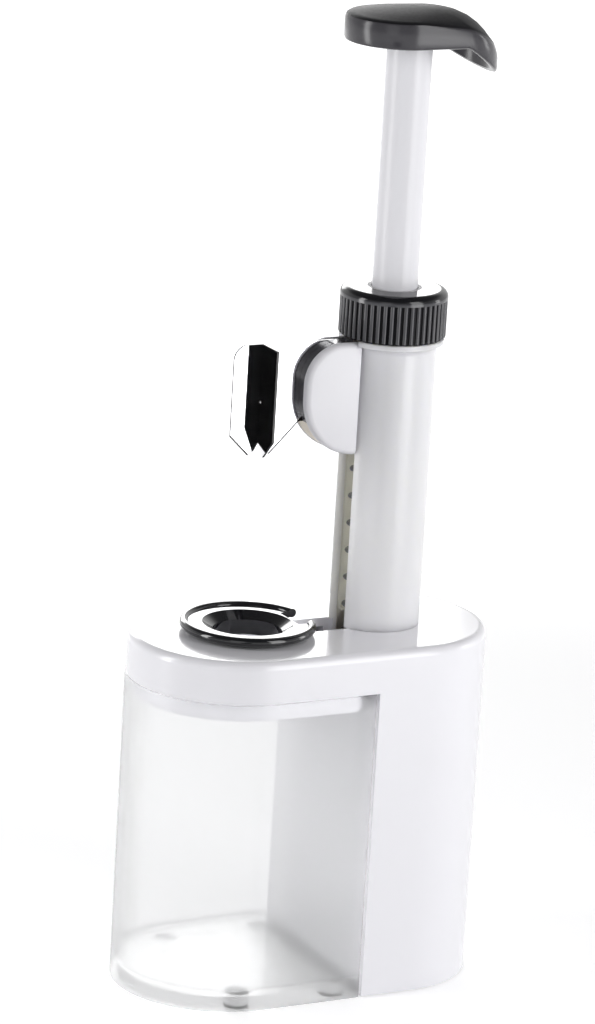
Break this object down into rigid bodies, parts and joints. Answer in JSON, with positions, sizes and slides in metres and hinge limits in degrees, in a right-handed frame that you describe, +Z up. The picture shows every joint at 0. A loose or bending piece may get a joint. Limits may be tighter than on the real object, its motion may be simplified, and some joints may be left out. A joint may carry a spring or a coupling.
{
  "type": "plum pitter",
  "caption": "Free-standing push-down plum pitter: a sprung plunger drives a cross blade through a plum on a seat ring, and the stone drops into a see-through container.",
  "frame": {"origin": "middle of the base on the table", "axes": "+X along the base from the plum side to the column side, +Z up along the plunger"},
  "size_m": [0.125, 0.07, 0.3251],
  "materials": {
    "white_plastic": "glossy white",
    "container_plastic": "translucent, slightly frosted",
    "knob_plastic": "dark grey, semi-gloss",
    "cap_plastic": "dark grey, semi-gloss",
    "ring_black": "glossy black",
    "ivory_plastic": "satin ivory",
    "bush_plastic": "satin",
    "blade_steel": "mirror-polished steel",
    "screw_steel": "bright",
    "spring_steel": "bright",
    "foot_rubber": "matt"
  },
  "bodies": {
    "container": {"stone_container": "container_plastic", "container_feet": "foot_rubber"},
    "housing": {"housing_shell": "white_plastic", "rear_base_cover": "white_plastic", "base_screws": "screw_steel", "rear_feet": "foot_rubber", "column_tube": "white_plastic", "spring_seat": "ivory_plastic", "column_screws": "screw_steel", "return_spring": "spring_steel", "seat_ring": "ring_black"},
    "plunger": {"plunger_tube": "white_plastic", "plunger_knob": "knob_plastic", "knob_insert": "knob_plastic", "knob_screw": "screw_steel", "carriage": "ivory_plastic", "carriage_pin": "screw_steel", "blade_holder": "knob_plastic", "blade_pins": "screw_steel", "main_blade": "blade_steel", "cross_blade": "blade_steel", "arm_cheek_near": "white_plastic", "arm_cheek_far": "white_plastic", "arm_screws": "screw_steel"},
    "bush": {"plunger_bush": "bush_plastic", "top_buffer": "foot_rubber"},
    "cap": {"cap_nut": "cap_plastic", "wiper_ring": "foot_rubber"}
  },
  "joints": [
    {"name": "housing_lift", "type": "slide", "parent": "container", "child": "housing", "axis": [0, 0, 1], "range_m": [0, 0.12]},
    {"name": "plunger_press", "type": "slide", "parent": "housing", "child": "plunger", "axis": [0, 0, -1], "range_m": [0, 0.066], "stiffness_N_per_m": 250, "springref_m": -0.03, "deforming": ["return_spring"]},
    {"name": "bush_lift", "type": "slide", "parent": "housing", "child": "bush", "axis": [0, 0, 1], "range_m": [0, 0.009]},
    {"name": "cap_turn", "type": "hinge", "parent": "bush", "child": "cap", "pos_m": [0.0245, 0, 0.217], "axis": [0, 0, 1], "range_deg": [0, 1080]}
  ],
  "couplings": [
    {"joint": "bush_lift", "follows": "cap_turn", "m_per_rad": 0.00047746}
  ]
}
